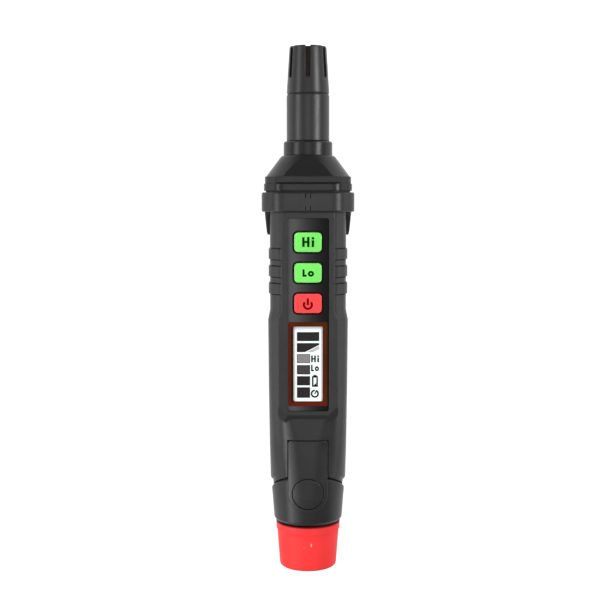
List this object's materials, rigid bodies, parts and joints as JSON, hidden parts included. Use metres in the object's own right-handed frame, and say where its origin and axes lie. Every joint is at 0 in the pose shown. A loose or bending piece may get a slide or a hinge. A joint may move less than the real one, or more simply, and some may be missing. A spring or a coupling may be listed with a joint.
{
  "type": "pen gas detector",
  "caption": "Slim hand-held gas detector pen: slotted sensor tip on a neck, collar, key panel with display, and a pull-off red-ended battery cap.",
  "frame": {"origin": "on the surface the pen lies on, under the middle of its length and width", "axes": "+Y towards the sensor tip, +X to the right seen from the key panel, +Z out of the key panel"},
  "size_m": [0.0332, 0.19, 0.029],
  "materials": {
    "housing_plastic": "fine satin moulded plastic",
    "panel_gloss": "polished black panel",
    "bezel_amber": "dark orange printed frame",
    "display_glass": "pale lit display under clear film",
    "light_guide": "clear light guide",
    "key_green": "bright green key",
    "key_red": "bright red key",
    "tail_red": "smooth red plastic",
    "seal_rubber": "black seal rubber",
    "screen_steel": "dark sintered screen",
    "sensor_steel": "drawn steel can",
    "board_green": "coated circuit board",
    "lead_jacket": "wire jacket",
    "component_black": "moulded component body",
    "cell_jacket": "printed cell jacket",
    "contact_metal": "plated spring contact",
    "screw_steel": "zinc plated screw"
  },
  "bodies": {
    "housing": {"sensor_cap": "housing_plastic", "sensor_screen": "screen_steel", "gas_sensor": "sensor_steel", "sensor_board": "board_green", "sensor_leads": "lead_jacket", "neck_tube": "housing_plastic", "neck_seal": "seal_rubber", "nose_cone": "housing_plastic", "nose_gasket": "seal_rubber", "collar": "housing_plastic", "front_shell": "housing_plastic", "rear_shell": "housing_plastic", "panel_lens": "panel_gloss", "lcd_bezel": "bezel_amber", "lcd_glass": "display_glass", "lcd_backlight": "light_guide", "lcd_connectors": "seal_rubber", "switch_power": "component_black", "switch_lo": "component_black", "switch_hi": "component_black", "main_board": "board_green", "control_chip": "component_black", "buzzer": "component_black", "battery_tray": "housing_plastic", "cell_left": "cell_jacket", "cell_right": "cell_jacket", "contact_springs": "contact_metal", "housing_screws": "screw_steel", "board_screws": "screw_steel"},
    "key_hi": {"key_hi": "key_green"},
    "key_lo": {"key_lo": "key_green"},
    "key_power": {"key_power": "key_red"},
    "battery_cap": {"battery_cap": "housing_plastic", "tail_cap": "tail_red", "cap_seal": "seal_rubber", "bridge_contact": "contact_metal", "latch_spring": "contact_metal"},
    "latch_button": {"latch_button": "housing_plastic"}
  },
  "joints": [
    {"name": "key_hi_press", "type": "slide", "parent": "housing", "child": "key_hi", "axis": [0, 0, -1], "range_m": [0, 0.0005], "stiffness_N_per_m": 1500, "springref_m": -0.0008},
    {"name": "key_lo_press", "type": "slide", "parent": "housing", "child": "key_lo", "axis": [0, 0, -1], "range_m": [0, 0.0005], "stiffness_N_per_m": 1500, "springref_m": -0.0008},
    {"name": "key_power_press", "type": "slide", "parent": "housing", "child": "key_power", "axis": [0, 0, -1], "range_m": [0, 0.0005], "stiffness_N_per_m": 1500, "springref_m": -0.0008},
    {"name": "battery_cap_pull", "type": "slide", "parent": "housing", "child": "battery_cap", "axis": [0, -1, 0], "range_m": [0, 0.045]},
    {"name": "latch_button_press", "type": "slide", "parent": "battery_cap", "child": "latch_button", "axis": [0, 0, -1], "range_m": [0, 0.0008], "stiffness_N_per_m": 1500, "springref_m": -0.0008, "deforming": ["latch_spring"]}
  ]
}
